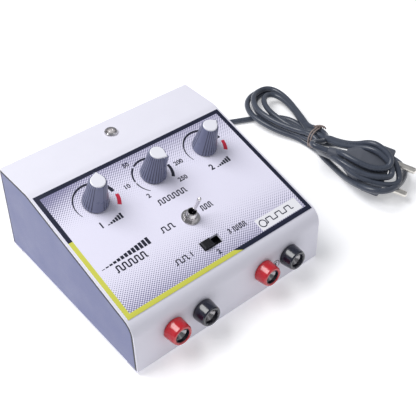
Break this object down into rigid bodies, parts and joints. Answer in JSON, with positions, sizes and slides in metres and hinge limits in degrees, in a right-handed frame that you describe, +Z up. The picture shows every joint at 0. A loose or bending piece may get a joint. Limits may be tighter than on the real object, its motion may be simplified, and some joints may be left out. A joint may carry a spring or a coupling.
{
  "type": "electrotherapy stimulator",
  "caption": "Sloping desk-top nerve stimulator with turning level knobs, toggle and slide switches, front output sockets and a mains lead in a tied hank.",
  "frame": {"origin": "on the table, under the middle of the instrument without its mains lead", "axes": "+Y from the socket front to the back, +X to the right of someone facing the front, +Z up"},
  "size_m": [0.277, 0.2016, 0.0838],
  "materials": {
    "tray_paint": "satin powder coat",
    "cover_paint": "fine-textured powder coat",
    "panel_print": "printed polyester overlay",
    "badge_print": "glossy sticker",
    "foot_rubber": "matt",
    "zinc_steel": "bright zinc plate",
    "knob_plastic": "satin moulded",
    "cap_plastic": "gloss moulded",
    "shaft_alloy": "turned",
    "switch_plastic": "moulded",
    "chrome_plate": "bright plate",
    "lamp_clear": "clear water-white lens",
    "socket_red": "gloss moulded",
    "socket_black": "gloss moulded",
    "contact_plate": "nickel plate on brass",
    "rear_plastic": "moulded",
    "fuse_glass": "clear tube",
    "core_steel": "laminated",
    "coil_tape": "taped winding",
    "board_laminate": "solder resist",
    "capacitor_sleeve": "shrink sleeve",
    "wire_sleeve": "thin insulation",
    "cord_sheath": "soft glossy sheath",
    "tie_strip": "thin strip",
    "pin_plate": "nickel plate on brass"
  },
  "bodies": {
    "root": {"base_tray": "tray_paint", "board_capacitors": "capacitor_sleeve", "board_chips": "switch_plastic", "board_standoffs": "zinc_steel", "case_screws": "zinc_steel", "circuit_board": "board_laminate", "fuse_holder": "rear_plastic", "hank_tie": "tie_strip", "lamp_bezel": "chrome_plate", "lamp_lens": "lamp_clear", "lead_hank": "cord_sheath", "mains_lead": "cord_sheath", "output_transformers": "coil_tape", "panel_badge": "badge_print", "panel_label": "panel_print", "plug_body": "cord_sheath", "plug_pins": "pin_plate", "pot_channel_1": "zinc_steel", "pot_channel_2": "zinc_steel", "pot_nuts": "zinc_steel", "pot_rate": "zinc_steel", "pot_washers": "zinc_steel", "rocker_housing": "rear_plastic", "rubber_feet": "foot_rubber", "slide_switch_body": "switch_plastic", "slide_switch_plate": "zinc_steel", "socket_contact_1": "contact_plate", "socket_contact_2": "contact_plate", "socket_contact_3": "contact_plate", "socket_contact_4": "contact_plate", "socket_head_1": "socket_red", "socket_head_2": "socket_black", "socket_head_3": "socket_red", "socket_head_4": "socket_black", "socket_nuts": "zinc_steel", "socket_washers": "rear_plastic", "strain_relief": "cord_sheath", "toggle_body": "switch_plastic", "toggle_nut": "chrome_plate", "toggle_washer": "chrome_plate", "top_cover": "cover_paint", "transformer_bracket": "zinc_steel", "transformer_coil": "coil_tape", "transformer_core": "core_steel", "transformer_screws": "zinc_steel", "wiring": "wire_sleeve"},
    "control_channel_1": {"knob_channel_1": "knob_plastic", "cap_channel_1": "cap_plastic", "shaft_channel_1": "shaft_alloy"},
    "control_rate": {"knob_rate": "knob_plastic", "cap_rate": "cap_plastic", "shaft_rate": "shaft_alloy"},
    "control_channel_2": {"knob_channel_2": "knob_plastic", "cap_channel_2": "cap_plastic", "shaft_channel_2": "shaft_alloy"},
    "toggle_lever": {"toggle_lever": "chrome_plate"},
    "slide_knob": {"slide_switch_knob": "switch_plastic"},
    "power_rocker": {"power_rocker": "rear_plastic"},
    "fuse_carrier": {"fuse": "fuse_glass"},
    "fuse_cap": {"fuse_cap": "rear_plastic"}
  },
  "joints": [
    {"name": "turn_channel_1", "type": "hinge", "parent": "root", "child": "control_channel_1", "pos_m": [-0.043, 0.01041, 0.06091], "axis": [0, 0.2551, -0.9669], "range_deg": [-174, 126]},
    {"name": "turn_rate", "type": "hinge", "parent": "root", "child": "control_rate", "pos_m": [0.0006, 0.00983, 0.06076], "axis": [0, 0.2551, -0.9669], "range_deg": [-298, 2]},
    {"name": "turn_channel_2", "type": "hinge", "parent": "root", "child": "control_channel_2", "pos_m": [0.0438, 0.01041, 0.06091], "axis": [0, 0.2551, -0.9669], "range_deg": [-226, 74]},
    {"name": "toggle_throw", "type": "hinge", "parent": "root", "child": "toggle_lever", "pos_m": [0.0003, -0.02843, 0.0517], "axis": [0, 0.9669, 0.2551], "range_deg": [-23, 0]},
    {"name": "mode_slide", "type": "slide", "parent": "root", "child": "slide_knob", "axis": [1, 0, 0], "range_m": [0, 0.0072]},
    {"name": "power_rock", "type": "hinge", "parent": "root", "child": "power_rocker", "pos_m": [-0.042, 0.06703, 0.0255], "axis": [-1, 0, 0], "range_deg": [-22, 0]},
    {"name": "fuse_pull", "type": "slide", "parent": "root", "child": "fuse_carrier", "axis": [0, 1, 0], "range_m": [0, 0.026]},
    {"name": "fuse_cap_turn", "type": "hinge", "parent": "fuse_carrier", "child": "fuse_cap", "pos_m": [-0.008, 0.06903, 0.0255], "axis": [0, 1, 0], "range_deg": [0, 45]}
  ]
}
